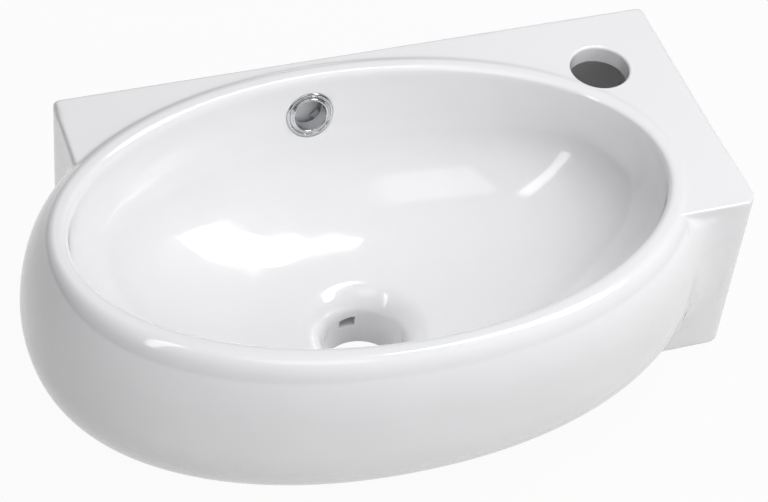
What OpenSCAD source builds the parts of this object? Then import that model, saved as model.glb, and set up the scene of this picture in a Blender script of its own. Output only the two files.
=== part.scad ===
// Wall hung cloakroom washbasin of fired clay.
// An oval bowl with a fat rolled rim stands forward of a flat back slab and past
// its left end. The tap hole is in the slab's right corner, and a chrome ring,
// held by a sprung clip, lines the overflow hole in the back of the bowl.
// X runs along the wall, Y = 0 is the wall, the front looks towards -Y, Z is up.
// The origin is midway between the two wall fixing holes.

/* [Slab] */
// Length of the back slab along the wall
slab_w = 364; // [350:2:440]
// Depth of the tap block, from the wall to its front face
slab_d = 172; // [150:2:210]
// Length of the tap block along the wall
block_w = 130; // [110:2:150]
// Depth of the slab's shallow part, left of the tap block
strip_d = 76; // [72:1:90]
// Height of the slab from the foot to the deck
slab_h = 120; // [112:1:146]
// Thickness of the deck and of the slab's walls
slab_wall = 11; // [8:0.5:13.5]
// Radius of the slab's front upright corners
front_corner_r = 8; // [4:1:14]
// Radius of the slab's back upright corners
back_corner_r = 4; // [2:1:8]
// Radius of the slab's top edges
top_edge_r = 3; // [2:0.5:8]

/* [Rim] */
// Length of the rim, crest to crest
rim_long = 356; // [296:2:380]
// Width of the rim, crest to crest
rim_short = 218; // [200:2:226]
// Distance of the rim's centre from the slab's left end
rim_from_left = 154; // [145:1:160]
// Distance of the rim's centre from the wall
rim_from_wall = 121; // [118:1:140]
// Rise of the crest over the deck at its left end
rim_rise_left = 3.5; // [2.5:0.5:12]
// Rise of the crest over the deck at its right end
rim_rise_right = 0.5; // [0.3:0.1:3]
// Width of the roll from the crest in to the bowl's wall
roll_w = 7; // [6:1:17]
// Height of the roll from the crest down to the bowl's wall
roll_h = 7; // [6:1:16]
// Width of the flat land along the crest
crest_land = 1; // [0.6:0.2:3]

/* [Outer body] */
// Fullness of the body past the crest at each end
bulge_long = 20; // [16:1:26]
// Fullness of the body past the crest at front and back
bulge_short = 21; // [16:0.5:25]
// Shift of the body's widest line to the right of the rim's centre
body_shift_x = 1; // [0:1:8]
// Shift of the body's widest line towards the wall
body_shift_y = 3; // [0:1:12]
// Drop of the widest line below the deck
widest_drop = 58; // [50:1:80]
// Roundness of the shoulder, from the crest to the widest line
shoulder_round = 1.8; // [1.4:0.1:2.4]
// Roundness of the belly, from the widest line to the foot
belly_round = 2; // [1.8:0.1:3]
// Squareness of the body's widest line, where 2 is an ellipse
body_square = 2.1; // [2:0.05:2.3]
// Thickness of the body's outer wall
body_wall = 10; // [8:0.5:12]

/* [Foot] */
// Length of the body's flat foot
foot_long = 300; // [240:2:320]
// Width of the body's flat foot
foot_short = 152; // [140:2:180]
// Shift of the foot's centre from the rim's centre towards the wall
foot_shift_y = 4; // [0:1:8]
// Width of the foot's standing edge
foot_edge = 24; // [20:1:34]

/* [Bowl] */
// Depth of the bowl below the deck, at the edge of the waste recess
bowl_depth = 81; // [64:1:84]
// Roundness of the bowl from its wall to its floor
bowl_round = 2.1; // [1.8:0.1:2.8]
// Thickness of the bowl's skin
bowl_skin = 9; // [7:0.5:11]

/* [Waste] */
// Bore of the waste hole
waste_d = 45; // [37:0.5:54]
// Shift of the waste hole to the left of the rim's centre
waste_shift_x = 6; // [0:1:16]
// Shift of the waste hole forward of the rim's centre
waste_shift_y = 20; // [10:1:24]
// Width of the recess round the waste hole
recess_lip = 15.5; // [12:0.5:20]
// Depth of the recess round the waste hole
recess_depth = 12; // [6:1:14]
// Rounding of the waste hole's top edge
throat_lip = 2; // [1:0.5:3]
// Thickness of the boss round the waste hole
boss_wall = 16.5; // [14:0.5:20]
// Height of the boss's seat above the foot
boss_lift = 2; // [1:0.5:6]

/* [Overflow] */
// Bore of the overflow hole in the bowl's wall
overflow_d = 24; // [20:0.5:28]
// Drop of the overflow hole's centre below the deck
overflow_drop = 24; // [18:0.5:30]
// Thickness of the wall between the bowl and the duct
duct_skin = 7; // [6:0.5:9]
// Room beside the overflow hole inside the duct
duct_room = 2; // [1.5:0.5:3]
// Gap between the duct's roof and its floor
duct_gap = 7.5; // [6:0.5:10]
// Thickness of the duct's casing
duct_wall = 6; // [5:0.5:8]
// Width of the slot where the duct enters the waste hole
slot_w = 16; // [14:1:24]
// Height of the slot where the duct enters the waste hole
slot_h = 9; // [6:0.5:10]
// Drop of the slot's top below the edge of the waste hole
slot_drop = 4; // [3:0.5:6]

/* [Overflow ring and clip] */
// Width of the chrome flange past the overflow hole
ring_lip = 2.25; // [2:0.25:4]
// Height of the flange at its outer edge
flange_edge = 0.7; // [0.5:0.1:1.2]
// Height of the bevel at the flange's outer edge
flange_bevel = 0.4; // [0.2:0.1:0.6]
// Radius of the bead round the ring's bore
bead_r = 1.2; // [1:0.1:2]
// Wall of the ring's tube
tube_wall = 1; // [0.8:0.1:1.6]
// Length of the ring's tube behind the flange
tube_len = 7.5; // [5:0.5:9]
// Thickness of the clip's collar and legs
clip_wall = 1.3; // [1:0.1:1.6]
// Clearance between the tube, the clip and the hole
fit_gap = 0.1; // [0.05:0.05:0.2]
// Number of the clip's spring legs
leg_count = 4; // [3:1:6]
// Width of one spring leg
leg_w = 5; // [3:0.5:6]
// Length of a leg past the back of the bowl's wall
leg_reach = 5; // [4:0.5:7]
// Height of the barb on each leg
barb_h = 1; // [0.5:0.1:1.4]
// Length of the barb's slope
barb_len = 3.2; // [2:0.1:3.4]
// Gap between the barb and the back of the bowl's wall
barb_gap = 0.5; // [0.2:0.1:0.6]
// Reach of the lip at each leg's end, in towards the bore
leg_lip = 2; // [1:0.25:3]

/* [Tap hole] */
// Bore of the tap hole
tap_d = 35; // [32:0.5:38]
// Distance of the tap hole from the slab's right end
tap_from_right = 46; // [38:1:60]
// Distance of the tap hole from the wall
tap_from_wall = 46; // [40:1:50]

/* [Wall fixings] */
// Bore of the two wall fixing holes
fixing_d = 14; // [11:0.5:18]
// Distance between the two wall fixing holes
fixing_spacing = 200; // [160:5:240]
// Drop of the wall fixing holes below the deck
fixing_drop = 60; // [50:1:75]

/* [Quality] */
// Points round each oval section
oval_points = 60; // [48:4:68]

/* [Hidden] */
$fn = 64;

over = 1;
deck_z = fixing_drop;
foot_z = fixing_drop - slab_h;
left_x = -slab_w / 2;
right_x = slab_w / 2;

rim_x = left_x + rim_from_left;
rim_y = -rim_from_wall;
rim_a = rim_long / 2;
rim_b = rim_short / 2;
crest_z = deck_z + (rim_rise_left + rim_rise_right) / 2;
crest_slope = (rim_rise_right - rim_rise_left) / rim_long;
widest_z = deck_z - widest_drop;

waste_x = rim_x - waste_shift_x;
waste_y = rim_y - waste_shift_y;
throat_r = waste_d / 2 + throat_lip;
recess_r = waste_d / 2 + recess_lip;
boss_r = waste_d / 2 + boss_wall;
wall_level = crest_z - roll_h;
recess_z = deck_z - bowl_depth;
throat_z = recess_z - recess_depth;
boss_z = foot_z + boss_lift;

tap_x = right_x - tap_from_right;
tap_y = -tap_from_wall;

// Turns along the bowl's line at which the duct ends, and the steps on the way
duct_end_turn = 84;
duct_steps = 9;
duct_w = overflow_d + 2 * duct_room;
duct_roof = duct_skin;
duct_floor = duct_roof + duct_gap;

clip_r = overflow_d / 2 - fit_gap;
tube_r = clip_r - clip_wall - fit_gap;
bore_r = tube_r - tube_wall;
flange_r = overflow_d / 2 + ring_lip;
seat_r = flange_r + 4 * fit_gap;
leg_end = duct_skin + leg_reach;

glaze = [0.94, 0.94, 0.95];
chrome = [0.78, 0.79, 0.80];
clip_grey = [0.55, 0.56, 0.58];

// Blend of two numbers or vectors
function mix(a, b, k) = a + (b - a) * k;

// A quarter curve from a turn of 0 to 90: how far it has gone across, and how
// much of its drop is still left
function across(turn, p) = pow(sin(turn), 2 / p);
function left_over(turn, p) = pow(cos(turn), 2 / p);

// An oval is [centre x, centre y, half length, half width, squareness]
function rim_oval(grow) = [rim_x, rim_y, rim_a + grow, rim_b + grow, 2];
function body_oval(grow) =
    [rim_x + body_shift_x, rim_y + body_shift_y, rim_a + bulge_long + grow,
     rim_b + bulge_short + grow, body_square];
function foot_oval(grow) =
    [rim_x, rim_y + foot_shift_y, foot_long / 2 + grow, foot_short / 2 + grow,
     body_square];
function wall_oval(grow) =
    [rim_x, rim_y, rim_a - roll_w + grow, rim_b - roll_w + grow, 2];
function waste_oval(r) = [waste_x, waste_y, r, r, 2];

// Point of an oval at an angle
function oval_x(o, t) = o[0] + o[2] * sign(cos(t)) * pow(abs(cos(t)), 2 / o[4]);
function oval_y(o, t) = o[1] + o[3] * sign(sin(t)) * pow(abs(sin(t)), 2 / o[4]);

// Ring of points on an oval, leaning with the crest by a share from 0 to 1
function ring(o, z, lean = 0) =
    [for (i = [0:oval_points - 1])
        let (t = 360 * i / oval_points, x = oval_x(o, t))
        [x, oval_y(o, t), z + lean * crest_slope * (x - rim_x)]];

// Outer body from the foot up to the crest, drawn in by inset for its hollow
belly_step = 15;
shoulder_steps = 7;
function body_rings(inset) = concat(
    [for (turn = [90:-belly_step:belly_step])
        ring(mix(body_oval(-inset), foot_oval(-inset),
                 1 - left_over(turn, belly_round)),
             widest_z - (widest_z - foot_z - inset) * across(turn, belly_round))],
    [for (k = [shoulder_steps:-1:0])
        let (turn = 90 * k / shoulder_steps)
        ring(mix(rim_oval(crest_land / 2 - inset), body_oval(-inset),
                 across(turn, shoulder_round)),
             widest_z + (crest_z - widest_z - inset) * left_over(turn, shoulder_round),
             left_over(turn, shoulder_round))]
);

// Bowl section at a turn from 0 at its wall to 90 at its floor, grown by a skin
function bowl_oval(turn, skin) =
    mix(wall_oval(skin), waste_oval(recess_r + skin), 1 - left_over(turn, bowl_round));
function bowl_z(turn, skin) =
    wall_level - (wall_level - recess_z + skin) * across(turn, bowl_round);

// Bowl space from the waste hole up and over the rolled rim
recess_round = 1.6;
bowl_step = 10;
roll_step = 18;
lid_gap = 0.6;
function bowl_rings() = concat(
    [ring(waste_oval(throat_r - 2 * throat_lip), throat_z - throat_lip)],
    [for (k = [0:0.25:1])
        ring(waste_oval(mix(throat_r, recess_r, k)),
             mix(throat_z, recess_z, 1 - pow(1 - k, recess_round)))],
    [for (turn = [90 - bowl_step:-bowl_step:0]) ring(bowl_oval(turn, 0), bowl_z(turn, 0))],
    [for (turn = [roll_step:roll_step:90 - roll_step])
        ring(mix(wall_oval(0), rim_oval(-crest_land / 2), 1 - cos(turn)),
             mix(wall_level, crest_z, sin(turn)), sin(turn))],
    [ring(rim_oval(-crest_land / 2), crest_z + lid_gap, 1),
     ring(rim_oval(-crest_land / 2), crest_z + 2 * rim_rise_left + over)]
);

// Outside of the bowl's skin, hidden under the deck and the body
skin_steps = 7;
skin_top = 3;
function skin_rings() = concat(
    [for (k = [skin_steps:-1:0])
        let (turn = 90 * k / skin_steps)
        ring(bowl_oval(turn, bowl_skin), bowl_z(turn, bowl_skin))],
    [ring(wall_oval(bowl_skin), deck_z - skin_top)]
);

// Closed solid through rings of points, lowest ring first
module loft(rings) {
    n = len(rings[0]);
    top = (len(rings) - 1) * n;
    sides = [
        for (k = [0:len(rings) - 2])
            for (i = [0:n - 1])
                let (a = k * n + i, b = k * n + (i + 1) % n)
                each [[a, a + n, b + n], [a, b + n, b]]
    ];
    bottom = [for (i = [0:n - 1]) i];
    lid = [for (i = [n - 1:-1:0]) top + i];
    polyhedron(
        points = [for (r = rings) each r],
        faces = concat([bottom], sides, [lid]),
        convexity = 6
    );
}

// Rectangle with its own radius at each corner, in the order
// left low, right low, right high, left high
module round_rect(x0, y0, x1, y1, r) {
    polygon([
        [x0 + r[0], y0], [x1 - r[1], y0], [x1, y0 + r[1]], [x1, y1 - r[2]],
        [x1 - r[2], y1], [x0 + r[3], y1], [x0, y1 - r[3]], [x0, y0 + r[0]]
    ]);
    if (r[0] > 0) translate([x0 + r[0], y0 + r[0]]) circle(r[0]);
    if (r[1] > 0) translate([x1 - r[1], y0 + r[1]]) circle(r[1]);
    if (r[2] > 0) translate([x1 - r[2], y1 - r[2]]) circle(r[2]);
    if (r[3] > 0) translate([x0 + r[3], y1 - r[3]]) circle(r[3]);
}

// Plan of the slab: a shallow strip with the deep tap block at its right end
module slab_plan() {
    round_rect(left_x, -strip_d, right_x - block_w / 2, 0,
               [front_corner_r, 0, 0, back_corner_r]);
    round_rect(right_x - block_w, -slab_d, right_x, 0,
               [front_corner_r, front_corner_r, back_corner_r, 0]);
}

// Solid slab: its plan, cut by a front and a side outline with rounded tops
module slab_block() {
    r = top_edge_r;
    intersection() {
        translate([0, 0, foot_z])
            linear_extrude(slab_h)
                slab_plan();
        rotate([90, 0, 0])
            translate([0, 0, -over])
                linear_extrude(slab_d + 2 * over)
                    round_rect(left_x, foot_z - over, right_x, deck_z, [0, 0, r, r]);
        rotate([90, 0, 90])
            translate([0, 0, left_x - over])
                linear_extrude(slab_w + 2 * over)
                    round_rect(-slab_d, foot_z - over, 0, deck_z, [0, 0, r, r]);
    }
}

// Keeps what lies in front of a plane that is parallel to the wall
module in_front_of(y) {
    intersection() {
        children();
        translate([-slab_w, y - 2 * slab_w, -slab_h])
            cube([2 * slab_w, 2 * slab_w, 3 * slab_h]);
    }
}

// Space under the deck, one box in the strip and one in the tap block
module slab_hollow() {
    room = slab_h - slab_wall + over;
    translate([left_x + slab_wall, slab_wall - strip_d, foot_z - over])
        cube([slab_w - 2 * slab_wall, strip_d - 2 * slab_wall, room]);
    translate([right_x - block_w + slab_wall, slab_wall - slab_d, foot_z - over])
        cube([block_w - 2 * slab_wall, slab_d - 2 * slab_wall, room]);
}

// Space inside the body, with its opening through the foot: an oval in front,
// drawn out straight to the wall behind
module body_hollow() {
    opening = foot_oval(-foot_edge);
    in_front_of(-slab_wall) {
        loft(body_rings(body_wall));
        translate([0, 0, foot_z - over])
            linear_extrude(body_wall + 3) {
                polygon([for (p = ring(opening, 0)) [p[0], p[1]]]);
                translate([opening[0] - opening[2], opening[1]])
                    square([2 * opening[2], -opening[1]]);
            }
    }
}

// Bowl's back line in the plane of the waste hole, as a point [y, z]
function back_point(turn) = [oval_y(bowl_oval(turn, 0), 90), bowl_z(turn, 0)];

// Direction of that line, and a point at a depth behind it
function back_dir(turn) =
    let (d = back_point(turn + 0.5) - back_point(turn - 0.5)) d / norm(d);
function back_out(turn, depth) =
    let (d = back_dir(turn)) back_point(turn) + depth * [-d[1], d[0]];

// Turn at which the line passes a height, found by halving
function turn_at(z, lo = 1, hi = 60, steps = 18) =
    let (middle = (lo + hi) / 2)
    steps == 0 ? middle :
    back_point(middle)[1] > z ? turn_at(z, middle, hi, steps - 1)
                              : turn_at(z, lo, middle, steps - 1);

overflow_turn = turn_at(deck_z - overflow_drop);
overflow_at = back_point(overflow_turn);
overflow_dir = back_dir(overflow_turn);
overflow_tilt = atan2(-overflow_dir[0], -overflow_dir[1]);
chamber_top = overflow_at[1] + overflow_d / 2 + duct_room / 4;
chamber_lean = 1;
duct_turns = [for (k = [0:duct_steps]) mix(overflow_turn, duct_end_turn, k / duct_steps)];

// Side view of the duct between two depths behind the bowl, down to a last edge
module duct_side(roof, floor, top, end_roof, end_floor) {
    polygon(concat(
        [[back_out(overflow_turn, roof)[0] + chamber_lean, top]],
        [for (turn = duct_turns) back_out(turn, roof)],
        [end_roof, end_floor],
        [for (k = [duct_steps:-1:0]) back_out(duct_turns[k], floor)],
        [[back_out(overflow_turn, floor)[0] + chamber_lean, top]]
    ));
}

// Stands a side view up in the plane of the waste hole, at a width
module across_waste(width) {
    translate([waste_x - width / 2, 0, 0])
        rotate([90, 0, 90])
            linear_extrude(width)
                children();
}

slot_y = waste_y + waste_d / 2;
slot_top = throat_z - slot_drop;
slot_fall = 1;
duct_last = back_out(duct_end_turn, duct_roof);

// Duct from behind the overflow hole down to the slot in the waste hole
module duct() {
    across_waste(duct_w)
        duct_side(duct_roof, duct_floor, chamber_top,
                  [slot_y + boss_wall / 2, mix(duct_last[1], slot_top, 0.7)],
                  [slot_y + boss_wall / 2, slot_top - slot_h]);
    across_waste(slot_w)
        polygon([
            [slot_y + boss_wall, mix(duct_last[1], slot_top, 0.4)],
            [slot_y - slot_w / 3, slot_top],
            [slot_y - slot_w / 3, slot_top - slot_h],
            [slot_y + boss_wall, slot_top - slot_h + slot_fall]
        ]);
}

// Clay round the duct, sunk into the bowl's skin and the deck by casing_sink
casing_sink = 3;
module duct_casing() {
    across_waste(duct_w + 2 * duct_wall)
        duct_side(duct_roof - casing_sink, duct_floor + duct_wall, chamber_top + casing_sink,
                  [slot_y + boss_wall / 2, duct_last[1]],
                  [slot_y + boss_wall / 2, slot_top - slot_h - duct_wall]);
}

// Stands a ring piece, made round its own axis with +Z out of the bowl's wall,
// at the overflow hole
module at_overflow() {
    translate([waste_x, overflow_at[0], overflow_at[1]])
        rotate([90 - overflow_tilt, 0, 0])
            children();
}

// Overflow hole with a flat seat for the ring's flange. It is turned by an eighth
// so that no seam of a round cut falls on a bend of the duct.
module overflow_hole() {
    at_overflow()
        rotate(45) {
            translate([0, 0, -duct_roof - duct_gap / 2])
                cylinder(d = overflow_d, h = duct_roof + duct_gap / 2 + over);
            cylinder(r = seat_r, h = 2 * bead_r + over);
        }
}

// Ceramic: slab, body and bowl in one, hollow from below, with its duct and holes
module basin_body() {
    color(glaze)
        difference() {
            union() {
                slab_block();
                in_front_of(-over) loft(body_rings(0));
            }
            difference() {
                union() {
                    slab_hollow();
                    body_hollow();
                }
                loft(skin_rings());
                translate([waste_x, waste_y, boss_z])
                    cylinder(r = boss_r, h = recess_z - boss_z);
                duct_casing();
            }
            loft(bowl_rings());
            duct();
            overflow_hole();
            translate([waste_x, waste_y, foot_z - over])
                cylinder(d = waste_d, h = throat_z - foot_z + over);
            translate([tap_x, tap_y, deck_z - slab_wall - over])
                cylinder(d = tap_d, h = slab_wall + 2 * over);
            for (side = [-1, 1])
                translate([side * fixing_spacing / 2, over, 0])
                    rotate([90, 0, 0])
                        cylinder(d = fixing_d, h = slab_wall + 2 * over);
        }
}

// Chrome ring: bevelled flange, bead round the bore, short tube behind
module overflow_ring() {
    bead_z = bead_r + flange_bevel / 2;
    color(chrome)
        at_overflow()
            rotate_extrude() {
                polygon([
                    [bore_r, 0], [flange_r, 0], [flange_r, flange_edge],
                    [flange_r - flange_bevel, flange_edge + flange_bevel],
                    [bore_r + 2 * bead_r, 2 * flange_edge + flange_bevel],
                    [bore_r + bead_r, 2 * bead_r], [bore_r, bead_z]
                ]);
                translate([bore_r + bead_r, bead_z]) circle(bead_r);
                translate([bore_r, -tube_len]) square([tube_wall, tube_len + flange_edge]);
            }
}

// Sprung clip: a collar round the ring's tube, with legs that snap behind the wall.
// One turned profile, cut through between the legs behind the collar.
module overflow_clip() {
    inner = tube_r + fit_gap;
    outer = inner + clip_wall;
    barb_z = duct_skin + barb_gap;
    color(clip_grey)
        at_overflow()
            intersection() {
                rotate_extrude()
                    polygon([
                        [inner, -fit_gap], [outer, -fit_gap], [outer, -barb_z],
                        [outer + barb_h, -barb_z - 0.1 * barb_len],
                        [outer, -barb_z - barb_len], [outer, -leg_end],
                        [inner - leg_lip, -leg_end], [inner - leg_lip, clip_wall - leg_end],
                        [inner, clip_wall - leg_end]
                    ]);
                union() {
                    translate([0, 0, -tube_len])
                        cylinder(r = overflow_d, h = tube_len);
                    for (k = [0:leg_count - 1])
                        rotate([0, 0, 360 * (k + 0.5) / leg_count])
                            translate([0, -leg_w / 2, -leg_end - over])
                                cube([overflow_d, leg_w, leg_end]);
                }
            }
}

basin_body();
overflow_ring();
overflow_clip();
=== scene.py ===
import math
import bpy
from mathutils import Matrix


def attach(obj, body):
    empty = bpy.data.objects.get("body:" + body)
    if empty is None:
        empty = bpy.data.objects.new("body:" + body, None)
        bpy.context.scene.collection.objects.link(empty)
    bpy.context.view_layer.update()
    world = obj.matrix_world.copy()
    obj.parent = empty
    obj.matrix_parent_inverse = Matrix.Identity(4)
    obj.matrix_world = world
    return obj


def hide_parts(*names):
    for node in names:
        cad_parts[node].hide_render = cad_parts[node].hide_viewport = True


bl_info = {
    "name": "Washbasin",
    "version": (1, 0, 0),
    "blender": (4, 5, 0),
    "location": "View3D > Sidebar > Basin",
    "description": "Glazed washbasin with its overflow ring, drawn round the construction model",
    "category": "Add Mesh",
}

import bpy
import numpy as np
from bpy.props import FloatProperty, FloatVectorProperty, IntProperty, PointerProperty
from mathutils import Matrix, Vector

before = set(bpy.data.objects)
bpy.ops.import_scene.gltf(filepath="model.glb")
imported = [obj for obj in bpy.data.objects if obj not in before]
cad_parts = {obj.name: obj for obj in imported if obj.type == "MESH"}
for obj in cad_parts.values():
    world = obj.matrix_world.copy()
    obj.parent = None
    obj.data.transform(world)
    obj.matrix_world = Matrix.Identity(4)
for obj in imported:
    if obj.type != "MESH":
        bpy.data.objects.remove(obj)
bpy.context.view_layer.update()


# Sizes and colours


def length(name, default, text):
    return FloatProperty(name=name, description=text, default=default, unit="LENGTH", precision=4)


def colour(name, default, text):
    return FloatVectorProperty(
        name=name, description=text, default=default, size=3, subtype="COLOR", min=0, max=1
    )


class BasinSizes(bpy.types.PropertyGroup):
    slab_w: length("Slab length", 0.364, "Length of the back slab along the wall")
    slab_d: length("Tap block depth", 0.172, "From the wall to the tap block's front face")
    block_w: length("Tap block length", 0.130, "Length of the tap block along the wall")
    strip_d: length("Strip depth", 0.076, "Depth of the slab left of the tap block")
    slab_wall: length("Slab wall", 0.011, "Thickness of the deck and the slab's walls")
    front_r: length("Front corner radius", 0.008, "Radius of the slab's front upright corners")
    back_r: length("Back corner radius", 0.004, "Radius of the slab's back upright corners")
    top_r: length("Top edge radius", 0.003, "Radius of the slab's top edges")
    top_front_r: length("Front top edge radius", 0.0010, "Radius of the tap block's front top edge")
    heel_r: length("Heel radius", 0.0045, "Radius of the slab's bottom edges")
    deck_z: length("Deck height", 0.060, "Height of the deck over the wall fixings")
    foot_z: length("Foot height", -0.060, "Height of the foot under the wall fixings")
    rim_x: length("Rim centre along the wall", -0.028, "Centre of the rim's oval")
    rim_y: length("Rim centre from the wall", -0.121, "Centre of the rim's oval")
    rim_a: length("Half the rim's length", 0.178, "From the centre to the crest at the ends")
    rim_b: length("Half the rim's width", 0.109, "From the centre to the crest at the front")
    rise_left: length("Crest rise, left", 0.0035, "Rise of the crest over the deck, left")
    rise_right: length("Crest rise, right", 0.0005, "Rise of the crest over the deck, right")
    roll_w: length("Roll width", 0.007, "From the crest in to the bowl's wall")
    roll_h: length("Roll height", 0.007, "From the crest down to the bowl's wall")
    land: length("Crest land", 0.001, "Width of the flat along the crest")
    bulge_long: length("Fullness at the ends", 0.020, "Fullness of the body past the crest")
    bulge_short: length("Fullness at the front", 0.021, "Fullness of the body past the crest")
    body_dx: length("Body shift right", 0.001, "Shift of the widest line from the rim")
    body_dy: length("Body shift back", 0.003, "Shift of the widest line to the wall")
    widest_z: length("Widest line", 0.002, "Height of the body's widest line")
    body_wall: length("Body wall", 0.010, "Thickness of the body's outer wall")
    foot_a: length("Half the foot's length", 0.150, "Length of the body's foot, halved")
    foot_b: length("Half the foot's width", 0.076, "Width of the body's foot, halved")
    foot_dy: length("Foot shift back", 0.004, "Shift of the foot to the wall")
    foot_edge: length("Foot edge", 0.024, "Width of the standing edge")
    recess_z: length("Bowl floor", -0.021, "Height of the bowl's floor at the waste recess")
    recess_r: length("Recess radius", 0.038, "Radius of the recess round the waste hole")
    recess_h: length("Recess depth", 0.012, "Depth of that recess")
    throat_lip: length("Waste hole rounding", 0.002, "Rounding of the waste hole's edge")
    waste_r: length("Waste hole radius", 0.0225, "Radius of the waste hole")
    waste_dx: length("Waste hole shift left", 0.006, "From the rim's centre to the waste hole")
    waste_dy: length("Waste hole shift forward", 0.020, "From the rim's centre to the waste hole")
    bowl_skin: length("Bowl skin", 0.009, "Thickness of the bowl's skin")
    boss_r: length("Boss radius", 0.039, "Radius of the boss under the waste hole")
    boss_lift: length("Boss lift", 0.002, "Height of the boss's seat above the foot")
    tap_x: length("Tap hole along the wall", 0.136, "Centre of the tap hole")
    tap_y: length("Tap hole from the wall", -0.046, "Centre of the tap hole")
    tap_r: length("Tap hole radius", 0.0175, "Radius of the tap hole")
    tap_lip: length("Tap hole rounding", 0.0016, "Rounding of the tap hole's edge")
    fixing_x: length("Wall fixing holes", 0.100, "Half the distance between them")
    fixing_r: length("Wall fixing radius", 0.007, "Radius of the wall fixing holes")
    overflow_r: length("Overflow hole radius", 0.012, "Radius of the overflow hole")
    overflow_drop: length("Overflow drop", 0.024, "Drop of the overflow hole below the deck")
    seat_r: length("Ring seat radius", 0.01465, "Radius of the flat seat under the ring")
    duct_skin: length("Duct skin", 0.007, "Wall between the bowl and the duct")
    duct_gap: length("Duct gap", 0.0075, "Gap between the duct's roof and floor")
    duct_w: length("Duct width", 0.028, "Width of the duct")
    duct_wall: length("Duct wall", 0.006, "Thickness of the duct's casing")
    slot_w: length("Slot width", 0.010, "Width of the duct's slot in the waste hole")
    slot_h: length("Slot height", 0.005, "Height of that slot")
    slot_dx: length("Slot shift left", 0.003, "Shift of that slot from the waste hole's centre")
    crease_deck: length("Glaze in the deck's crease", 0.0012, "Size of the glaze fillet there")
    crease_side: length("Glaze in the side crease", 0.005, "Size of the glaze fillet there")
    crease_front: length("Glaze in the front crease", 0.016, "Size of the soft blend there")
    crease_foot: length("Glaze at the foot", 0.010, "Size of the glaze fillet there")
    flange_r: length("Flange radius", 0.01425, "Radius of the chrome flange")
    bore_r: length("Ring bore radius", 0.0095, "Radius of the chrome ring's bore")
    bead_r: length("Bead radius", 0.0012, "Radius of the bead round the ring's bore")
    tube_wall: length("Ring tube wall", 0.001, "Wall of the ring's tube")
    tube_len: length("Ring tube length", 0.0075, "Length of the ring's tube")
    around: IntProperty(
        name="Columns",
        description="Columns of faces round the basin",
        default=460,
        min=120,
        max=520,
    )
    down: IntProperty(
        name="Rows outside",
        description="Rows of faces from the crest to the foot",
        default=104,
        min=40,
        max=140,
    )


class BasinColours(bpy.types.PropertyGroup):
    glaze: colour("Glaze", (0.90, 0.90, 0.91), "White of the glaze")
    glaze_thin: colour("Thin glaze", (0.88, 0.875, 0.86), "Thin, warmer glaze in the hollow")
    clay: colour("Bare clay", (0.80, 0.77, 0.72), "Clay under the foot")
    chrome: colour("Chrome", (0.80, 0.81, 0.82), "Plating of the overflow ring")
    plastic: colour("Clip plastic", (0.66, 0.67, 0.69), "Plastic of the spring clip")
    floor: colour("Floor", (0.52, 0.52, 0.52), "Floor and backdrop")


# Form of the body, worked out from the sizes

# One row or column of faces is worth this much length or this much bend of the outline.
# A single bend counts up to the most, in radians, and a hollow crease has extra columns.
ROW_STEP, ROW_BEND, ROW_BEND_MOST = 0.0024, math.radians(6.5), 0.6
COLUMN_STEP, COLUMN_BEND, COLUMN_BEND_MOST = 0.003, math.radians(5), 0.35
CREASE_BEND = math.radians(0.6)
TURNS = 720
STEPS_MOST = 500

# Turn of the bowl's back line where the overflow duct ends
DUCT_END = math.radians(84)


def mix(a, b, share):
    return a + (b - a) * share


def ease(v):
    v = np.clip(v, 0, 1)
    return v * v * (3 - 2 * v)


def corner(turn, power):
    """Cosine and sine of a turn, bent to a superellipse."""
    return [max(v, 0) ** (2 / power) for v in (math.cos(turn), math.sin(turn))]


def arc(x, z, wide, high, first, last, count):
    """Points on an arc, from one turn in degrees to another."""
    turns = np.radians(np.linspace(first, last, count))
    return [(x + wide * math.cos(k), z + high * math.sin(k)) for k in turns]


def oval_value(o, x, y):
    """How far out a point lies on an oval: 0 on its line, less inside it."""
    n = o[4]
    return (np.abs((x - o[0]) / o[2]) ** n + np.abs((y - o[1]) / o[3]) ** n) ** (1 / n) - 1


def oval_points(o, t):
    c, s = np.cos(t), np.sin(t)
    x = o[0] + o[2] * np.sign(c) * np.abs(c) ** (2 / o[4])
    y = o[1] + o[3] * np.sign(s) * np.abs(s) ** (2 / o[4])
    return x, y


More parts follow.
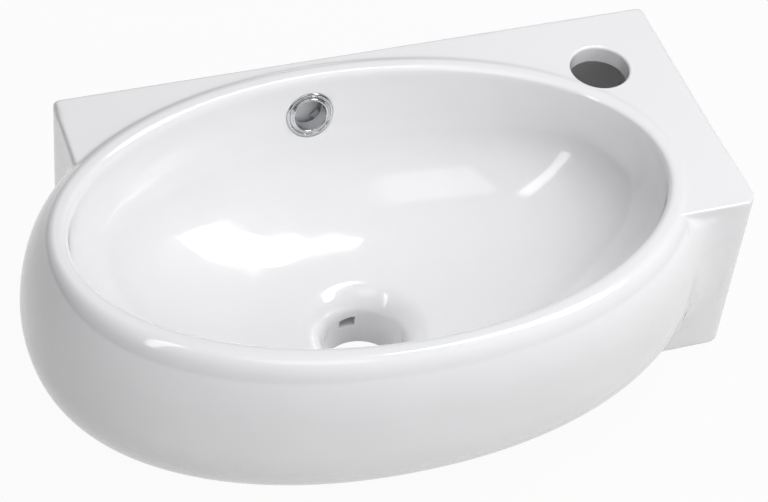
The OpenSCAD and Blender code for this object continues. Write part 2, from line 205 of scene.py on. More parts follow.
class Form:
    """The basin's surfaces as formulas: ovals for the body and the bowl, and a distance field."""

    # Superellipse powers: 2 is round, more is fuller, less is leaner
    lip, shoulder, shoulder_front, belly, square = 3.0, 1.8, 2.2, 2.0, 2.1
    bowl_round, recess_round = 2.1, 1.7

    def __init__(self, s):
        self.s = s
        self.crest_z = s.deck_z + (s.rise_left + s.rise_right) / 2
        self.slope = (s.rise_right - s.rise_left) / (2 * s.rim_a)
        self.wall_z = self.crest_z - s.roll_h
        self.throat_z = s.recess_z - s.recess_h
        self.slot_top = self.throat_z - 0.004
        self.waste_x, self.waste_y = s.rim_x - s.waste_dx, s.rim_y - s.waste_dy
        self.rim_out = self.rim_oval(s.land / 2)

    def rim_oval(self, grow):
        s = self.s
        return np.array([s.rim_x, s.rim_y, s.rim_a + grow, s.rim_b + grow, 2])

    def wall_oval(self, grow):
        return self.rim_oval(grow - self.s.roll_w)

    def body_oval(self, grow):
        s = self.s
        a, b = s.rim_a + s.bulge_long + grow, s.rim_b + s.bulge_short + grow
        return np.array([s.rim_x + s.body_dx, s.rim_y + s.body_dy, a, b, self.square])

    def foot_oval(self, grow):
        s = self.s
        a, b = s.foot_a + grow, s.foot_b + grow
        return np.array([s.rim_x, s.rim_y + s.foot_dy, a, b, self.square])

    def waste_oval(self, r):
        return np.array([self.waste_x, self.waste_y, r, r, 2])

    def bowl_oval(self, turn, skin):
        left = math.cos(turn) ** (2 / self.bowl_round) if turn < math.pi / 2 else 0.0
        return mix(self.wall_oval(skin), self.waste_oval(self.s.recess_r + skin), 1 - left)

    def bowl_z(self, turn, skin):
        deep = self.wall_z - self.s.recess_z + skin
        return self.wall_z - deep * math.sin(turn) ** (2 / self.bowl_round)

    def ring(self, oval, z, t, lean=0.0):
        x, y = oval_points(oval, t)
        return np.stack([x, y, z + lean * self.slope * (x - self.s.rim_x)], axis=-1)

    def bowl_rows(self, t):
        """Rings from the crest down into the waste hole."""
        s, rows = self.s, []
        for turn in np.radians(np.linspace(90, 0, 19)):
            wide, high = corner(turn, self.lip)
            oval = mix(self.wall_oval(0), self.rim_oval(-s.land / 2), 1 - wide)
            rows.append(self.ring(oval, mix(self.wall_z, self.crest_z, high), t, high))
        for turn in np.radians(np.linspace(0, 90, 33)[1:]):
            rows.append(self.ring(self.bowl_oval(turn, 0), self.bowl_z(turn, 0), t))
        for turn in np.radians(np.linspace(90, 0, 17)[1:]):
            wide, high = corner(turn, self.recess_round)
            z = mix(self.throat_z - s.throat_lip, s.recess_z, high)
            rows.append(self.ring(self.waste_oval(mix(s.recess_r, s.waste_r, wide)), z, t))
        for z in (-0.045, s.foot_z + 0.001):
            rows.append(self.ring(self.waste_oval(s.waste_r), z, t))
        return rows

    def body_rows(self, inset, t):
        """Rings of the outer body from the foot up, drawn in for its hollow."""
        s, rows = self.s, []
        for turn in np.radians(np.linspace(90, 7.5, 12)):
            left, down = corner(turn, self.belly)
            oval = mix(self.body_oval(-inset), self.foot_oval(-inset), 1 - left)
            z = s.widest_z - (s.widest_z - s.foot_z - inset) * down
            rows.append(self.ring(oval, z, t))
        for turn in np.radians(np.linspace(90, 0, 13)):
            left, gone = corner(turn, self.shoulder)
            oval = mix(self.rim_oval(s.land / 2 - inset), self.body_oval(-inset), gone)
            z = s.widest_z + (self.crest_z - s.widest_z - inset) * left
            rows.append(self.ring(oval, z, t, left))
        return rows

    def back_point(self, turn):
        """Point on the bowl's back line, as (y, z)."""
        oval = self.bowl_oval(turn, 0)
        return np.array([oval[1] + oval[3], self.bowl_z(turn, 0)])

    def back_dir(self, turn):
        half_degree = 0.0087
        d = self.back_point(turn + half_degree) - self.back_point(turn - half_degree)
        return d / np.linalg.norm(d)

    def back_out(self, turn, depth):
        """Point at a depth behind the bowl's back line."""
        d = self.back_dir(turn)
        return self.back_point(turn) + depth * np.array([-d[1], d[0]])

    def overflow(self):
        """Turn of the bowl's back line at the overflow hole, its place and its tilt."""
        low, high = math.radians(1), math.radians(60)
        for _ in range(30):
            middle = (low + high) / 2
            if self.back_point(middle)[1] > self.s.deck_z - self.s.overflow_drop:
                low = middle
            else:
                high = middle
        d = self.back_dir(low)
        return low, self.back_point(low), math.atan2(-d[0], -d[1])

    # Distance field of the glazed outside

    def tyre(self, x, y, z):
        """Distance from the oval body, its gradient, and the share of the way out from the crest.

        The share is found first, as the oval between rim and body, or body and foot, that the
        point lies on.
        """
        s = self.s
        above = z >= s.widest_z
        ovals = (self.rim_out, self.body_oval(0), self.foot_oval(0))
        rim, body, foot = (oval[:, None] for oval in ovals)
        low, high = np.where(above, rim, body), np.where(above, body, foot)
        k0, k1 = np.zeros_like(x), np.ones_like(x)
        f0, f1 = oval_value(low, x, y), oval_value(high, x, y)
        for _ in range(4):
            step = np.where(np.abs(f1 - f0) < 1e-13, -1e-13, f1 - f0)
            k0, f0, k1 = k1, f1, np.clip(k1 - f1 * (k1 - k0) / step, -1.5, 2.5)
            f1 = oval_value(mix(low, high, k1), x, y)
        # Outside the widest line, distances are measured from that line, so both halves meet there
        k1 = np.where(above, np.minimum(k1, 1), np.maximum(k1, 0))
        e, h = 1e-4, 2e-6
        at = mix(low, high, k1)
        wider, tighter = (oval_value(mix(low, high, k), x, y) for k in (k1 + e, k1 - e))
        by_k = (wider - tighter) / (2 * e)
        kx = -(oval_value(at, x + h, y) - oval_value(at, x - h, y)) / (2 * h) / by_k
        ky = -(oval_value(at, x, y + h) - oval_value(at, x, y - h)) / (2 * h) / by_k
        k1 = k1 - oval_value(at, x, y) / by_k
        rise = self.crest_z - s.widest_z + self.slope * (x - s.rim_x)
        height = np.where(above, rise, s.widest_z - s.foot_z)
        level = np.abs(z - s.widest_z) / height
        shoulder = mix(self.shoulder, self.shoulder_front, ease((s.rim_y - y) / 0.09))
        sign, p = np.where(above, 1, -1), np.where(above, shoulder, self.belly)
        u = np.maximum(np.where(above, k1, 1 - k1), 1e-9)
        v = np.maximum(level, 1e-9)
        total = (u**p + v**p) ** (1 / p)
        wu, wv = (u / total) ** (p - 1), (v / total) ** (p - 1)
        lean = np.where(above, -level * self.slope / height, 0)
        g = np.array([sign * wu * kx + wv * lean, sign * wu * ky, wv * sign / height])
        size = np.sqrt((g * g).sum(0)) + 1e-9
        return (total - 1) / size, g / size, np.where(above, k1, 1.0)

    def slab(self, x, y, z):
        """Distance from the back slab: strip and tap block, with all edges rounded."""
        s = self.s

        def rounded(a, b, r):
            outside = np.hypot(np.maximum(a, 0), np.maximum(b, 0))
            return np.minimum(np.maximum(a, b), 0) + outside - r

        def plan(x0, y0, x1, y1):
            cx, cy = x - (x0 + x1) / 2, y - (y0 + y1) / 2
            r = np.where(cy > 0, s.back_r, s.front_r)
            return rounded(np.abs(cx) - (x1 - x0) / 2 + r, np.abs(cy) - (y1 - y0) / 2 + r, r)

        half = s.slab_w / 2
        strip = plan(-half, -s.strip_d, half, 0)
        tap_block = plan(half - s.block_w, -s.slab_d, half, 0)
        flat = np.minimum(strip, tap_block)
        r = np.where(z > 0, mix(s.top_r, s.top_front_r, ease((-0.10 - y) / 0.06)), s.heel_r)
        return rounded(flat + r, np.abs(z) - (s.deck_z - r), r)

    def crease(self, x, y, z, share):
        """Size of the glaze fillet between body and slab: tight at the deck, wide at the front."""
        s = self.s
        front = ease((-0.125 - y) / 0.03) * ease(x / 0.06)
        below_deck = ease((s.deck_z - 0.001 - z) / mix(0.022, 0.009, front))
        at_side = mix(s.crease_side, s.crease_foot, ease((-0.010 - z) / 0.05))
        at_front = mix(s.crease_front, s.crease_foot, ease((-0.015 - z) / 0.045))
        at_deck = s.crease_deck * mix(1, 0.6, ease((x - 0.04) / 0.10))
        size = mix(at_deck, mix(at_side, at_front, front), below_deck)
        # No fillet on the crest itself
        return size * ease(share / 0.06) + 1e-9

    def field(self, x, y, z):
        """Distance from the glazed outside and its gradient: body and slab, softly joined."""
        t, tg, share = self.tyre(x, y, z)
        # The body stops a millimetre short of the wall, inside the slab
        wall = y + 0.001
        tg = np.where(wall > t, np.array([[0.0], [1.0], [0.0]]), tg)
        t = np.maximum(t, wall)
        flat, h = self.slab(x, y, z), 2e-6
        fg = np.array([
            self.slab(x + h, y, z) - self.slab(x - h, y, z),
            self.slab(x, y + h, z) - self.slab(x, y - h, z),
            self.slab(x, y, z + h) - self.slab(x, y, z - h),
        ]) / (2 * h)
        k = self.crease(x, y, z, share)
        near = np.maximum(k - np.abs(t - flat), 0) / k
        f = np.minimum(t, flat) - near * near * k / 4
        weight = np.where(t < flat, 1 - near / 2, near / 2)
        g = tg * weight + fg * (1 - weight)
        # Nothing goes past the slab's right end or into the wall
        for plane, unit in ((x - self.s.slab_w / 2, (1.0, 0.0, 0.0)), (y, (0.0, 1.0, 0.0))):
            g = np.where(plane > f, np.array(unit)[:, None], g)
            f = np.maximum(f, plane)
        return f, g

    def settle(self, r, z, c, d, times):
        """Moves points in their upright planes onto the surface."""
        for _ in range(times):
            f, g = self.field(self.s.rim_x + r * c, self.s.rim_y + r * d, z)
            gr, gz = g[0] * c + g[1] * d, g[2]
            move = np.clip(f / (gr * gr + gz * gz + 1e-9), -0.001, 0.001)
            r, z = r - move * gr, z - move * gz
        return r, z, gr, gz

    def trace(self, t, step=0.0009):
        """Walks down the outside from the crest to the foot, in each column's upright plane."""
        s = self.s
        x, y = oval_points(self.rim_out, t)
        r = np.hypot(x - s.rim_x, y - s.rim_y)
        c, d = (x - s.rim_x) / r, (y - s.rim_y) / r
        z = self.crest_z + self.slope * (x - s.rim_x)
        rs, zs = [r], [z]
        live = np.ones_like(r, bool)
        gr, gz = np.zeros_like(r), np.ones_like(r)
        while live.any():
            if len(rs) > STEPS_MOST:
                raise RuntimeError("a column of the basin's outside never reached the foot")
            size = np.hypot(gr, gz) + 1e-12
            nr, nz, g1, g2 = self.settle(r + gz / size * step, z - gr / size * step, c, d, 3)
            done = live & (nz <= s.foot_z + 2e-5)
            share = np.clip((z - s.foot_z) / np.maximum(z - nz, 1e-9), 0, 1)
            nr, nz = np.where(done, mix(r, nr, share), nr), np.where(done, s.foot_z, nz)
            r, z = np.where(live, nr, r), np.where(live, nz, z)
            gr, gz = np.where(live, g1, gr), np.where(live, g2, gz)
            rs.append(r)
            zs.append(z)
            live = live & ~done
        return np.array(rs), np.array(zs), c, d

    def outer_rows(self, t, count):
        """Rows from the foot up to the crest, closer together where the outside bends."""
        s = self.s
        rs, zs, c, d = self.trace(t)
        dr, dz = np.diff(rs, axis=0), np.diff(zs, axis=0)
        run = np.hypot(dr, dz)
        turn = np.unwrap(np.arctan2(dz, dr), axis=0)
        bend = np.abs(np.diff(turn, axis=0, append=turn[-1:])) * (run > 1e-7)
        weight = run / ROW_STEP + np.minimum(bend, ROW_BEND_MOST) / ROW_BEND
        start = np.zeros((1, len(t)))
        total, way = (np.vstack([start, np.cumsum(w, axis=0)]) for w in (weight, run))
        total, way = total / total[-1], way / way[-1]
        r, z, spots = (np.empty((count, len(t))) for _ in range(3))
        ends = [int(np.argmax(total[:, i] >= 1 - 1e-9)) + 1 for i in range(len(t))]
        for i, end in enumerate(ends):
            spots[:, i] = np.interp(np.linspace(0, 1, count), total[:end, i], way[:end, i])
        # Rows shift little from one column to the next, so no face is sheared
        for _ in range(24):
            spots = spots / 2 + (np.roll(spots, 1, axis=1) + np.roll(spots, -1, axis=1)) / 4
        for i, end in enumerate(ends):
            r[:, i] = np.interp(spots[:, i], way[:end, i], rs[:end, i])
            z[:, i] = np.interp(spots[:, i], way[:end, i], zs[:end, i])
        inner = r[1:-1].ravel(), z[1:-1].ravel()
        cc, dd = np.tile(c, count - 2), np.tile(d, count - 2)
        fixed = self.settle(inner[0], inner[1], cc, dd, 2)
        r[1:-1], z[1:-1] = fixed[0].reshape(count - 2, -1), fixed[1].reshape(count - 2, -1)
        z = np.maximum(z, s.foot_z)
        points = np.stack([s.rim_x + r * c, s.rim_y + r * d, z], axis=-1)
        return points[::-1]

    def columns(self, count):
        """Turns round the rim, closer together where the outline bends at any height."""
        s = self.s
        full = np.linspace(0, 2 * math.pi, TURNS + 1)
        rs, zs, c, d = self.trace(full[:-1])
        weight = np.zeros(TURNS)
        levels = (0.045, 0.02, s.widest_z, -0.018, -0.035, -0.048)
        for level in (s.deck_z - 0.001, *levels, s.foot_z + 0.003):
            r = rs[np.argmax(zs <= level, axis=0), np.arange(TURNS)]
            x, y = s.rim_x + r * c, s.rim_y + r * d
            dx, dy = np.roll(x, -1) - x, np.roll(y, -1) - y
            way = np.unwrap(np.arctan2(dy, dx))
            bend = np.clip(np.roll(way, -1) - way, -COLUMN_BEND_MOST, COLUMN_BEND_MOST)
            bend[-1] = bend[-2]
            weight += np.hypot(dx, dy) / COLUMN_STEP + np.abs(bend) / COLUMN_BEND
            weight += np.maximum(-bend, 0) / CREASE_BEND
        shares = zip(range(-3, 4), (1, 2, 3, 4, 3, 2, 1))
        smooth = sum(np.roll(weight, k) * w for k, w in shares) / 16
        smooth = np.minimum(smooth, np.median(smooth) * 6)
        total = np.append(0, np.cumsum(smooth))
        places = np.linspace(0, total[-1], count + 1)[:-1]
        return np.interp(places, total, full)


# Hand tools


def deselect():
    bpy.ops.object.select_all(action="DESELECT")


def name_it(name):
    piece = bpy.context.object
    piece.name = piece.data.name = name
    return piece


def pick(piece):
    deselect()
    piece.select_set(True)
    bpy.context.view_layer.objects.active = piece


def editing(piece, *steps):
    """Runs steps in edit mode with everything selected before each."""
    pick(piece)
    bpy.ops.object.mode_set(mode="EDIT")
    for step in steps:
        bpy.ops.mesh.select_all(action="SELECT")
        step()
    bpy.ops.object.mode_set(mode="OBJECT")


def skin_through(name, rows):
    """Closed skin through rings of points, with a face over each end."""
    rows = np.array(rows)
    count, around = rows.shape[:2]
    deselect()
    bpy.ops.mesh.primitive_grid_add(x_subdivisions=around, y_subdivisions=count - 1, size=1)
    piece = name_it(name)
    piece.data.vertices.foreach_set("co", np.concatenate([rows, rows[:, :1]], axis=1).ravel())

    def close_ends():
        bpy.ops.mesh.select_all(action="DESELECT")
        bpy.ops.mesh.select_non_manifold()
        bpy.ops.mesh.fill_holes(sides=0)

    editing(
        piece,
        lambda: bpy.ops.mesh.remove_doubles(threshold=1e-6),
        close_ends,
        lambda: bpy.ops.mesh.normals_make_consistent(inside=False),
    )
    return piece


def bar(name, corners, move):
    """Straight bar: a flat face with these corners, extruded by a move."""
    deselect()
    bpy.ops.mesh.primitive_circle_add(vertices=len(corners), radius=1, fill_type="NGON")
    piece = name_it(name)
    piece.data.vertices.foreach_set("co", np.array(corners, float).ravel())
    editing(
        piece,
        lambda: bpy.ops.mesh.extrude_region_move(TRANSFORM_OT_translate={"value": tuple(move)}),
        lambda: bpy.ops.mesh.normals_make_consistent(inside=False),
    )
    return piece


def block(name, low, high):
    """Box between two corners."""
    deselect()
    low, high = Vector(low), Vector(high)
    bpy.ops.mesh.primitive_cube_add(size=1, location=(low + high) / 2, scale=high - low)
    piece = name_it(name)
    bpy.ops.object.transform_apply(location=True, rotation=True, scale=True)
    return piece


def turned(name, profile, steps):
    """Spins a profile of (radius, height) points round the Z axis."""
    deselect()
    bpy.ops.mesh.primitive_circle_add(vertices=len(profile), radius=1, fill_type="NOTHING")
    piece = name_it(name)
    piece.data.vertices.foreach_set("co", np.array([(r, 0, z) for r, z in profile], float).ravel())
    editing(
        piece,
        lambda: bpy.ops.mesh.spin(
            steps=steps, angle=2 * math.pi, center=(0, 0, 0), axis=(0, 0, 1), dupli=False
        ),
        lambda: bpy.ops.mesh.remove_doubles(threshold=1e-6),
        lambda: bpy.ops.mesh.normals_make_consistent(inside=False),
    )
    return piece


def stand(piece, place, tilt):
    """Turns a piece made round +Z to look out of the bowl's back wall, and moves it there."""
    pick(piece)
    piece.rotation_euler = (math.radians(90) - tilt, 0, 0)
    piece.location = place
    bpy.ops.object.transform_apply(location=True, rotation=True, scale=True)
    return piece


def carve(piece, tool, how="DIFFERENCE"):
    pick(piece)
    change = piece.modifiers.new("carve", "BOOLEAN")
    change.operation, change.solver, change.object = how, "MANIFOLD", tool
    bpy.ops.object.modifier_apply(modifier=change.name)
    bpy.data.objects.remove(tool)
    if len(piece.data.polygons) == 0:
        raise RuntimeError(f"nothing is left of {piece.name}")


def drill(name, place, radius, depth, steps, axis="Z"):
    deselect()
    bpy.ops.mesh.primitive_cylinder_add(vertices=steps, radius=radius, depth=depth, location=place)
    piece = name_it(name)
    if axis == "Y":
        piece.rotation_euler = (math.radians(90), 0, 0)
    bpy.ops.object.transform_apply(location=True, rotation=True, scale=True)
    return piece


# Materials


class Wire:
    """A node's socket with arithmetic: each operator adds a Math node."""

    def __init__(self, tree, socket):
        self.tree, self.socket = tree, socket

    def math(self, kind, *others):
        node = self.tree.nodes.new("ShaderNodeMath")
        node.operation = kind
        for slot, value in zip(node.inputs, (self, *others)):
            feed(self.tree, slot, value)
        return Wire(self.tree, node.outputs[0])

    def __add__(self, other):
        return self.math("ADD", other)

    def __mul__(self, other):
        return self.math("MULTIPLY", other)

    def __rsub__(self, other):
        return (self * -1) + other


def feed(tree, slot, value):
    if isinstance(value, Wire):
        tree.links.new(value.socket, slot)
    elif isinstance(value, bpy.types.NodeSocket):
        tree.links.new(value, slot)
    else:
        slot.default_value = value


class Finish:
    """A material, or a world, with its nodes."""

    def __init__(self, name, world=None):
        self.owner = world or bpy.data.materials.new(name)
        self.owner.use_nodes = True
        self.tree = self.owner.node_tree
        self.tree.nodes.clear()

    def node(self, kind, settings=None, outlet=0, **inputs):
        """New node. An input is given by its name, or as n0, n1 and so on."""
        node = self.tree.nodes.new(kind)
        for key, value in (settings or {}).items():
            setattr(node, key, value)
        for key, value in inputs.items():
            numbered = key[0] == "n" and key[1:].isdigit()
            slot = node.inputs[int(key[1:]) if numbered else key.replace("_", " ")]
            feed(self.tree, slot, value)
        return Wire(self.tree, node.outputs[outlet])

    def place(self):
        return self.node("ShaderNodeTexCoord", outlet=3)

    def split(self, vector):
        node = self.tree.nodes.new("ShaderNodeSeparateXYZ")
        feed(self.tree, node.inputs[0], vector)
        return [Wire(self.tree, out) for out in node.outputs]

    def noise(self, scale, detail=2.0, rough=0.5):
        return self.node(
            "ShaderNodeTexNoise", Vector=self.place(), Scale=scale, Detail=detail, Roughness=rough
        )

    def between(self, value, low, high, to_low, to_high):
        settings = {"interpolation_type": "SMOOTHSTEP"}
        return self.node(
            "ShaderNodeMapRange", settings, n0=value, n1=low, n2=high, n3=to_low, n4=to_high
        )

    def blend(self, share, a, b):
        node = self.tree.nodes.new("ShaderNodeMix")
        node.data_type = "RGBA"
        feed(self.tree, node.inputs["Factor"], share)
        for slot, value in zip([i for i in node.inputs if i.type == "RGBA"], (a, b)):
            feed(self.tree, slot, (*value, 1) if isinstance(value, (tuple, list)) else value)
        return Wire(self.tree, [o for o in node.outputs if o.type == "RGBA"][0])

    def mottle(self, value, low, high, shade, gain):
        """A colour that drifts to a lighter or darker one where the value is high."""
        other = tuple(c * gain for c in shade)
        return self.blend(self.between(value, low, high, 0, 1), tuple(shade), other)

    def bump(self, height, strength, distance):
        return self.node("ShaderNodeBump", Height=height, Strength=strength, Distance=distance)

    def surface(self, shader):
        out = self.tree.nodes.new("ShaderNodeOutputMaterial")
        self.tree.links.new(shader.socket, out.inputs["Surface"])
        return self.owner


def glaze_finish(colours):
    """White sanitary glaze with slow waves, and bare clay under the foot."""
    m = Finish("white_glaze")
    z = m.split(m.place())[2]
    slow = m.noise(9, 2, 0.45)
    pool = m.noise(21, 2, 0.45)
    peel = m.noise(420, 2, 0.5)
    tone = m.mottle(slow, 0.35, 0.7, colours.glaze, 0.985)
    bare = m.between(z, -0.05925, -0.0597, 0, 1)
    tone = m.blend(bare, tone, tuple(colours.clay))
    # The glaze pools in the bowl, so its waves are deeper there than on the rim and the deck
    wavy = m.between(z, 0.052, 0.030, 0.35, 3.0)
    height = slow * 0.8 + pool * wavy + peel * 0.004
    shader = m.node(
        "ShaderNodeBsdfPrincipled",
        Base_Color=tone,
        Roughness=m.between(pool, 0.3, 0.7, 0.10, 0.15) + bare * 0.5,
        IOR=1.52,
        Coat_Weight=1 - bare,
        Coat_Roughness=0.03,
        Coat_IOR=1.5,
        Normal=m.bump(height, 0.35, 0.0016),
    )
    return m.surface(shader)


def hollow_finish(colours):
    """Thin, uneven glaze inside the hollow."""
    m = Finish("thin_glaze")
    patch = m.noise(30, 3, 0.6)
    grain = m.noise(700, 3, 0.6)
    share = m.between(patch, 0.35, 0.65, 0, 1)
    tone = m.blend(share, tuple(colours.glaze_thin), tuple(colours.clay))
    shader = m.node(
        "ShaderNodeBsdfPrincipled",
        Base_Color=tone,
        Roughness=m.between(patch, 0.3, 0.7, 0.3, 0.75),
        IOR=1.5,
        Normal=m.bump(patch * 0.6 + grain * 0.05, 0.4, 0.001),
    )
    return m.surface(shader)


def chrome_finish(colours):
    """Bright plating, faintly wavy from its polishing."""
    m = Finish("bright_chrome")
    haze = m.noise(160, 2, 0.5)
    fine = m.noise(2600, 2, 0.6)
    shader = m.node(
        "ShaderNodeBsdfPrincipled",
        Base_Color=m.mottle(haze, 0.35, 0.65, colours.chrome, 0.95),
        Metallic=1.0,
        Roughness=m.between(haze, 0.3, 0.7, 0.045, 0.085),
        Normal=m.bump(haze * 1.0 + fine * 0.02, 0.25, 0.0002),
    )
    return m.surface(shader)


def plastic_finish(colours):
    """Matte grey plastic with a fine grain."""
    m = Finish("grey_plastic")
    grain = m.noise(1500, 2, 0.6)
    shader = m.node(
        "ShaderNodeBsdfPrincipled",
        Base_Color=m.mottle(grain, 0.3, 0.7, colours.plastic, 1.08),
        Roughness=m.between(grain, 0.3, 0.7, 0.38, 0.5),
        Normal=m.bump(grain, 0.2, 0.0001),
    )
    return m.surface(shader)


# Pieces


def hollow_tool(form):
    """Space inside the basin: slab and body hollowed from below, round the bowl, boss and duct."""
    s, t = form.s, np.linspace(0, 2 * math.pi, 181)[:-1]
    half, wall, low = s.slab_w / 2, s.slab_wall, s.foot_z - 0.001
    top = (half - wall, -wall, s.deck_z - wall)
    tool = block("hollow", (wall - half, wall - s.strip_d, low), top)
    block_low = (half - s.block_w + wall, wall - s.slab_d, low)
    carve(tool, block("block_hollow", block_low, top), "UNION")
    body = skin_through("body_hollow", form.body_rows(s.body_wall, t))
    editing(
        body,
        lambda: bpy.ops.mesh.bisect(
            plane_co=(0, -wall, 0), plane_no=(0, 1, 0), use_fill=True, clear_outer=True
        ),
    )
    carve(tool, body, "UNION")
    opening = form.foot_oval(-s.foot_edge)
    front = np.linspace(math.pi, 2 * math.pi, 61)
    x, y = oval_points(opening, front)
    corners = [(a, b, low) for a, b in zip(x, y)] + [(x[-1], -wall, low), (x[0], -wall, low)]
    carve(tool, bar("foot_opening", corners, (0, 0, s.body_wall + 0.003)), "UNION")
    skin = [form.ring(form.wall_oval(s.bowl_skin), s.deck_z - 0.003, t)]
    for turn in np.radians(np.linspace(0, 90, 19)):
        skin.append(form.ring(form.bowl_oval(turn, s.bowl_skin), form.bowl_z(turn, s.bowl_skin), t))
    carve(tool, skin_through("bowl_skin", skin))
    boss_z = s.foot_z + s.boss_lift
    depth = s.recess_z - boss_z
    place = (form.waste_x, form.waste_y, boss_z + depth / 2)
    carve(tool, drill("boss", place, s.boss_r, depth, 128))
    floor = s.duct_skin + s.duct_gap + s.duct_wall
    side = duct_side(form, s.duct_skin - 0.003, floor, 0.003, s.duct_wall)
    carve(tool, across_waste(form, "casing", side, s.duct_w + 2 * s.duct_wall))
    return tool


def duct_side(form, roof, floor, over, under):
    """Side view of the duct between two depths behind the bowl, longer by so much at its ends."""
    s = form.s
    start, place, _ = form.overflow()
    turns = np.linspace(start, DUCT_END, 19)
    top = place[1] + s.overflow_r + 0.0005 + over
    last = form.back_out(DUCT_END, s.duct_skin)
    roof_end = last[1] if over else mix(last[1], form.slot_top, 0.7)
    y = form.waste_y + s.waste_r + (s.boss_r - s.waste_r) / 2
    points = [(form.back_out(start, roof)[0] + 0.001, top)]
    points += [tuple(form.back_out(k, roof)) for k in turns]
    points += [(y, roof_end), (y, form.slot_top - 0.009 - under)]
    points += [tuple(form.back_out(k, floor)) for k in turns[::-1]]
    points += [(form.back_out(start, floor)[0] + 0.001, top)]
    return points


def across_waste(form, name, side, width, shift=0.0):
    """Bar with this side view, across the waste hole's line or shifted to the left of it."""
    corners = [(form.waste_x - shift - width / 2, y, z) for y, z in side]
    return bar(name, corners, (width, 0, 0))


def duct_tool(form):
    s = form.s
    side = duct_side(form, s.duct_skin, s.duct_skin + s.duct_gap, 0, 0)
    return across_waste(form, "duct", side, s.duct_w)


def slot_tool(form):
    """Way out of the duct, through the waste hole's wall and a little into the hole."""
    s = form.s
    inside, outside = form.waste_y + s.waste_r - 0.0067, form.waste_y + s.boss_r
    roof = mix(form.back_out(DUCT_END, s.duct_skin)[1], form.slot_top, 0.4)
    top = form.slot_top - 0.001
    side = [(outside, roof), (inside, top), (inside, top - s.slot_h), (outside, top - s.slot_h)]
    return across_waste(form, "slot", side, s.slot_w, s.slot_dx)


def overflow_tool(form):
    """Overflow hole into the duct, with the ring's flat seat round it."""
    s = form.s
    _, place, tilt = form.overflow()
    deep, clear = s.duct_skin + s.duct_gap / 2, 0.004
    profile = [
        (0.0, -deep), (s.overflow_r, -deep), (s.overflow_r, 0.0), (s.seat_r, 0.0),
        (s.seat_r, clear), (0.0, clear),
    ]
    return stand(turned("overflow_hole", profile, 160), (form.waste_x, *place), tilt)


def tap_tool(form):
    """Tap hole through the deck, with a rounded edge."""
    s = form.s
    lip, top, low = s.tap_lip, s.deck_z, s.deck_z - s.slab_wall - 0.001
    profile = [(0.0, low), (s.tap_r, low)]
    profile += arc(s.tap_r + lip, top - lip, -lip, lip, 0, 88, 9)
    profile += [(s.tap_r + lip * 0.98, top + 0.001), (0.0, top + 0.001)]
    hole = turned("tap_hole", profile, 160)
    editing(hole, lambda: bpy.ops.transform.translate(value=(s.tap_x, s.tap_y, 0)))
    return hole


class BASIN_OT_body(bpy.types.Operator):
    """Make the glazed basin with its bowl, deck, holes and hollow"""

    bl_idname = "basin.body"
    bl_label = "Glazed basin"

    def execute(self, context):
        s, colours = context.scene.basin_sizes, context.scene.basin_colours
        form = Form(s)
        t = form.columns(s.around)
        rows = list(form.outer_rows(t, s.down)) + form.bowl_rows(t)
        basin = skin_through("glazed_basin", rows)
        for finish in (glaze_finish(colours), hollow_finish(colours)):
            basin.data.materials.append(finish)
        hollow = hollow_tool(form)
        for finish in basin.data.materials:
            hollow.data.materials.append(finish)
        hollow.data.polygons.foreach_set("material_index", [1] * len(hollow.data.polygons))
        carve(basin, hollow)
        for make in (duct_tool, slot_tool, overflow_tool, tap_tool):
            carve(basin, make(form))
        for side in (-1, 1):
            place = (side * s.fixing_x, -s.slab_wall / 2, 0)
            carve(basin, drill("fixing", place, s.fixing_r, s.slab_wall + 0.002, 96, "Y"))
        pick(basin)
        bpy.ops.object.shade_smooth_by_angle(angle=math.radians(50))
        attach(basin, "root")
        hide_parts("basin_body")
        return {"FINISHED"}


class BASIN_OT_ring(bpy.types.Operator):
    """Make the chrome overflow ring and dress the spring clip behind it"""

    bl_idname = "basin.ring"
    bl_label = "Overflow ring"

    def execute(self, context):
        s, colours = context.scene.basin_sizes, context.scene.basin_colours
        form = Form(s)
        _, place, tilt = form.overflow()
        bore, tube, flange = s.bore_r, s.bore_r + s.tube_wall, s.flange_r
        bevel_w, bevel_h, edge_h, lift = 0.0012, 0.0011, 0.0006, 0.00002
        ridge, bead = flange - bevel_w, 0.65 * s.bead_r
        groove_out, groove_in = ridge - 0.0004, bore + 2 * s.bead_r - 0.0004
        profile = [(bore, -s.tube_len), (tube, -s.tube_len), (tube, lift)]
        profile += [(flange - 0.0001, lift), (flange, 0.0001), (flange, edge_h)]
        profile += arc(ridge, edge_h, bevel_w, bevel_h, 10, 100, 10)
        for k in np.linspace(0, 1, 9):
            dip = 0.0006 * math.sin(k * math.pi * 0.75)
            profile.append((mix(groove_out, groove_in, k), 0.0016 - dip))
        profile += arc(bore + bead, 1.55 * s.bead_r, bead, bead, -35, 175, 23)
        ring = turned("chrome_ring", profile, 144)
        stand(ring, (form.waste_x, *place), tilt)
        bpy.ops.object.shade_smooth_by_angle(angle=math.radians(34))
        ring.data.materials.append(chrome_finish(colours))
        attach(ring, "root")
        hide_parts("overflow_ring")
        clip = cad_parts["overflow_clip"]
        clip.data.materials.clear()
        clip.data.materials.append(plastic_finish(colours))
        return {"FINISHED"}


# Stage

# Point that all lamps look at
LIT = (-0.03, -0.12, 0.03)

# Name, directions from LIT to both ends, width in degrees, power, distance, seen in reflections
LAMPS = (
    ("key", (0.66, -0.24, 0.71), (0.28, 0.30, 0.91), 12, 8.1, 1.3, True),
    ("front", (0.62, -0.70, 0.35), (-0.12, -0.93, 0.35), 40, 13.5, 1.8, False),
    ("top", (-0.22, -0.38, 0.89), (0.12, -0.38, 0.91), 25, 0.8, 1.3, True),
    ("back", (-0.35, 0.93, 0.10), (0.60, 0.79, 0.10), 12, 6, 1.8, False),
    ("left", (-0.75, -0.47, 0.46), (-0.31, -0.07, 0.95), 5, 1.3, 1.3, True),
)

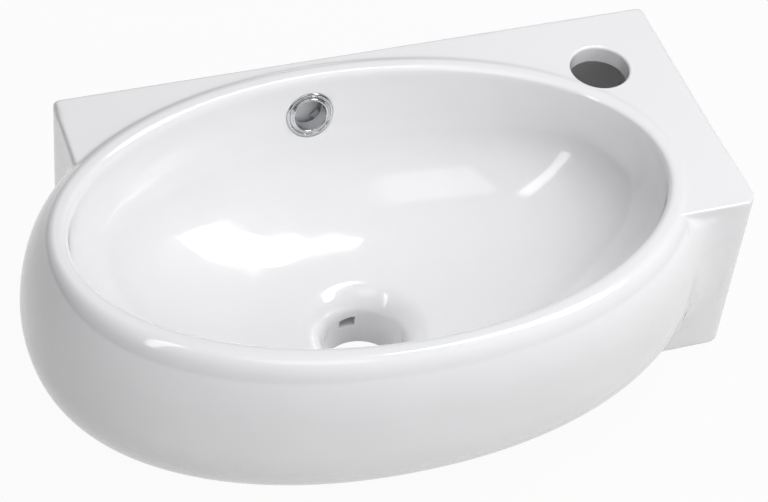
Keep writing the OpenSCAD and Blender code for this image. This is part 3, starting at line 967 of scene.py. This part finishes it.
# Place, azimuth, elevation and roll in degrees, and lens, all solved from the photo
CAMERA_AT, CAMERA_TURN, CAMERA_LENS = (-0.3923, -0.9791, 0.9856), (-23.46, 45.96, 6.95), 111.89


def softbox(name, start, end, wide, power, far, glossy):
    """Rectangular lamp that reaches from one direction to another, and is so many degrees wide."""
    start, end = Vector(start).normalized(), Vector(end).normalized()
    middle, along = (start + end).normalized(), (start - end).normalized()
    deselect()
    bpy.ops.object.light_add(type="AREA", location=Vector(LIT) + middle * far)
    lamp = bpy.context.object
    lamp.name = name
    lamp.data.shape = "RECTANGLE"
    lamp.data.size = 2 * far * math.tan(start.angle(end) / 2)
    lamp.data.size_y = 2 * far * math.tan(math.radians(wide / 2))
    lamp.data.energy = power
    lamp.visible_glossy = glossy
    lamp.rotation_mode = "QUATERNION"
    face = Matrix((along, middle.cross(along), middle)).transposed()
    lamp.rotation_quaternion = face.to_quaternion()


class BASIN_OT_stage(bpy.types.Operator):
    """Set up floor, light and camera"""

    bl_idname = "basin.stage"
    bl_label = "Stage"

    def execute(self, context):
        s, colours = context.scene.basin_sizes, context.scene.basin_colours
        deselect()
        bpy.ops.mesh.primitive_plane_add(size=12, location=(0, 0, s.foot_z - 0.0002))
        floor = name_it("floor")
        m = Finish("pale_floor")
        ray = m.tree.nodes.new("ShaderNodeLightPath")
        seen = Wire(m.tree, ray.outputs["Is Camera Ray"])
        shiny = Wire(m.tree, ray.outputs["Is Glossy Ray"])
        matte = m.node("ShaderNodeBsdfDiffuse", Color=(*colours.floor, 1))
        glow = m.node("ShaderNodeEmission", Color=(1, 1, 1, 1), Strength=1.0)
        share = seen * 0.95 + shiny * 0.6
        both = m.node("ShaderNodeMixShader", Fac=share, n1=matte, n2=glow)
        floor.data.materials.append(m.surface(both))

        world = Finish("studio", bpy.data.worlds.new("studio"))
        context.scene.world = world.owner
        ray = world.tree.nodes.new("ShaderNodeLightPath")
        seen = Wire(world.tree, ray.outputs["Is Camera Ray"])
        white = world.node("ShaderNodeBackground", Color=(1, 1, 1, 1), Strength=1.0)
        height = world.split(world.node("ShaderNodeTexCoord"))[2]
        fill = world.between(height, 0, 1, 0.03, 0.48)
        soft = world.node("ShaderNodeBackground", Color=(0.98, 0.98, 1, 1), Strength=fill)
        out = world.tree.nodes.new("ShaderNodeOutputWorld")
        both = world.node("ShaderNodeMixShader", Fac=seen, n1=soft, n2=white)
        world.tree.links.new(both.socket, out.inputs["Surface"])

        for lamp in LAMPS:
            softbox(*lamp)

        deselect()
        bpy.ops.object.camera_add(location=CAMERA_AT)
        camera = bpy.context.object
        camera.name = "camera"
        azimuth, elevation, roll = (math.radians(v) for v in CAMERA_TURN)
        flat = math.cos(elevation)
        back = Vector((math.sin(azimuth) * flat, -math.cos(azimuth) * flat, math.sin(elevation)))
        right = Vector((math.cos(azimuth), math.sin(azimuth), 0))
        up = back.cross(right)
        x = math.cos(roll) * right + math.sin(roll) * up
        y = -math.sin(roll) * right + math.cos(roll) * up
        camera.rotation_mode = "QUATERNION"
        camera.rotation_quaternion = Matrix((x, y, back)).transposed().to_quaternion()
        camera.data.sensor_width, camera.data.lens = 36, CAMERA_LENS
        camera.data.clip_start, camera.data.clip_end = 0.01, 50
        context.scene.camera = camera
        context.scene.view_settings.view_transform = "Standard"
        return {"FINISHED"}


class BASIN_PT_panel(bpy.types.Panel):
    bl_label = "Washbasin"
    bl_space_type = "VIEW_3D"
    bl_region_type = "UI"
    bl_category = "Basin"

    def draw(self, context):
        for operator in (BASIN_OT_body, BASIN_OT_ring, BASIN_OT_stage):
            self.layout.operator(operator.bl_idname)


CLASSES = (BasinSizes, BasinColours, BASIN_OT_body, BASIN_OT_ring, BASIN_OT_stage, BASIN_PT_panel)


def register():
    for c in CLASSES:
        bpy.utils.register_class(c)
    bpy.types.Scene.basin_sizes = PointerProperty(type=BasinSizes)
    bpy.types.Scene.basin_colours = PointerProperty(type=BasinColours)


def unregister():
    del bpy.types.Scene.basin_colours
    del bpy.types.Scene.basin_sizes
    for c in reversed(CLASSES):
        bpy.utils.unregister_class(c)


def main():
    register()
    bpy.ops.basin.stage()
    bpy.ops.basin.body()
    bpy.ops.basin.ring()


if __name__ == "__main__":
    main()
